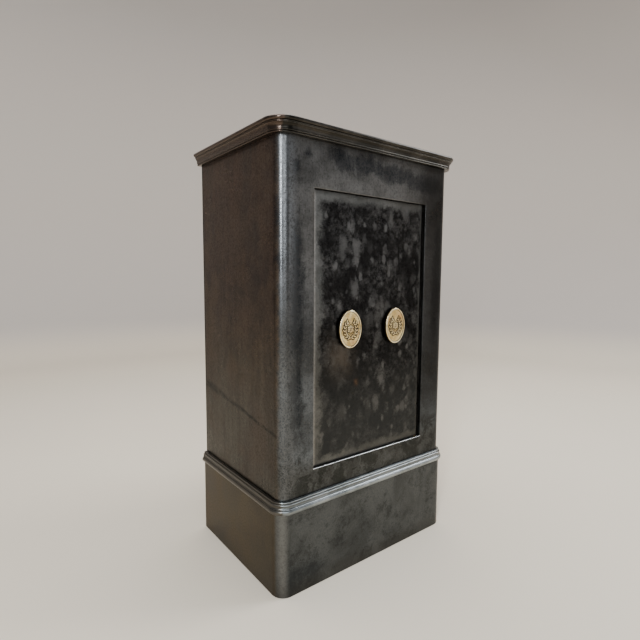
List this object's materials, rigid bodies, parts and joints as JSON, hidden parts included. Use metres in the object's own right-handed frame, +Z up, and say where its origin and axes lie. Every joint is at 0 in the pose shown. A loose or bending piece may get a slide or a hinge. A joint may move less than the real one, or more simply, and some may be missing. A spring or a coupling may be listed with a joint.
{
  "type": "safe",
  "caption": "Fire-resisting floor safe: bent steel body on a plinth, moulded cornice, recessed hinged door, oval brass knob and keyhole cover, rack boltwork and a lever lock.",
  "frame": {"origin": "middle of the footprint's bounding box, on the floor", "axes": "+Z up, the door faces -Y, +X to the right of a person facing the door"},
  "size_m": [0.606, 0.415, 1.06],
  "materials": {
    "body_steel": "stripped, darkened by age and polished, cloudy satin",
    "back_steel": "dark, dull, left unpolished",
    "moulding_steel": "polished, brighter on the edges",
    "door_steel": "near black, mottled, polished",
    "medallion_brass": "cast, worn bright on the high places, dark in the hollows",
    "works_brass": "machined, tarnished",
    "works_steel": "turned, oiled",
    "frame_iron": "dark, machined where it meets the door",
    "lining_paint": "old oxide-red paint, satin",
    "packing": "packed sawdust and alum, dull"
  },
  "bodies": {
    "body": {"body_casing": "body_steel", "top_plate": "body_steel", "bottom_plate": "frame_iron", "back_plate": "back_steel", "back_rivets": "back_steel", "cornice": "moulding_steel", "cornice_screws": "works_steel", "door_frame": "frame_iron", "chamber_lining": "lining_paint", "left_filling": "packing", "right_filling": "packing", "top_filling": "packing", "bottom_filling": "packing", "back_filling": "packing", "shelf": "lining_paint", "shelf_ledges": "lining_paint", "upper_hinge_pin": "works_steel", "lower_hinge_pin": "works_steel", "hinge_washer": "works_brass", "plinth_shell": "body_steel", "plinth_back": "back_steel", "plinth_moulding": "moulding_steel", "plinth_deck": "frame_iron", "plinth_posts": "frame_iron", "moulding_rivets": "works_steel", "holding_bolts": "works_steel"},
    "door": {"door_plate": "door_steel", "door_pan": "lining_paint", "pan_screws": "works_steel", "partition_plate": "frame_iron", "door_filling": "packing", "door_cover": "lining_paint", "cover_screws": "works_brass", "spindle_bush": "works_brass", "guide_studs": "works_steel", "keyhole_escutcheon": "works_brass", "escutcheon_pins": "works_brass", "lock_case": "frame_iron", "lock_cap": "frame_iron", "lock_screws": "works_steel", "lever_pivot": "works_steel"},
    "handle": {"handle_knob": "medallion_brass", "handle_spindle": "works_steel", "bolt_pinion": "works_steel", "pinion_pin": "works_steel"},
    "left_boltwork": {"left_bolt_bar": "frame_iron", "left_bolts": "works_steel", "lock_notch_plate": "works_steel"},
    "right_boltwork": {"right_bolt_bar": "frame_iron", "right_bolts": "works_steel"},
    "keyhole_flap": {"keyhole_cover": "medallion_brass", "cover_pivot_pin": "works_brass", "cover_pin_washer": "works_steel"},
    "lock_bolt_body": {"lock_bolt": "works_brass"},
    "lever_pack": {"lock_levers": "works_brass", "lever_springs": "works_steel"},
    "curtain": {"key_curtain": "works_brass"}
  },
  "joints": [
    {"name": "door_hinge", "type": "hinge", "parent": "body", "child": "door", "pos_m": [0.1785, -0.1695, 0.6], "axis": [0, 0, 1], "range_deg": [0, 90]},
    {"name": "handle_turn", "type": "hinge", "parent": "door", "child": "handle", "pos_m": [0.077, -0.18, 0.605], "axis": [0, 1, 0], "range_deg": [0, 90]},
    {"name": "left_bolts_slide", "type": "slide", "parent": "door", "child": "left_boltwork", "axis": [-1, 0, 0], "range_m": [0, 0.02042]},
    {"name": "right_bolts_slide", "type": "slide", "parent": "door", "child": "right_boltwork", "axis": [1, 0, 0], "range_m": [0, 0.02043]},
    {"name": "keyhole_flap_swing", "type": "hinge", "parent": "door", "child": "keyhole_flap", "pos_m": [-0.077, -0.18, 0.641], "axis": [0, 1, 0], "range_deg": [-100, 100]},
    {"name": "key_curtain_turn", "type": "hinge", "parent": "door", "child": "curtain", "pos_m": [-0.077, -0.15, 0.6], "axis": [0, 1, 0], "range_deg": [0, 360.5]},
    {"name": "lock_bolt_slide", "type": "slide", "parent": "door", "child": "lock_bolt_body", "axis": [0, 0, -1], "range_m": [0, 0.012]},
    {"name": "levers_lift", "type": "hinge", "parent": "door", "child": "lever_pack", "pos_m": [-0.047, -0.15, 0.616], "axis": [0, 1, 0], "range_deg": [0, 5], "stiffness_Nm_per_rad": 0.05, "springref_deg": -17.19}
  ],
  "couplings": [
    {"joint": "handle_turn", "follows": "left_bolts_slide", "rad_per_m": 76.923},
    {"joint": "right_bolts_slide", "follows": "left_bolts_slide", "ratio": 1},
    {"joint": "key_curtain_turn", "follows": "lock_bolt_slide", "rad_per_m": 523.6}
  ]
}
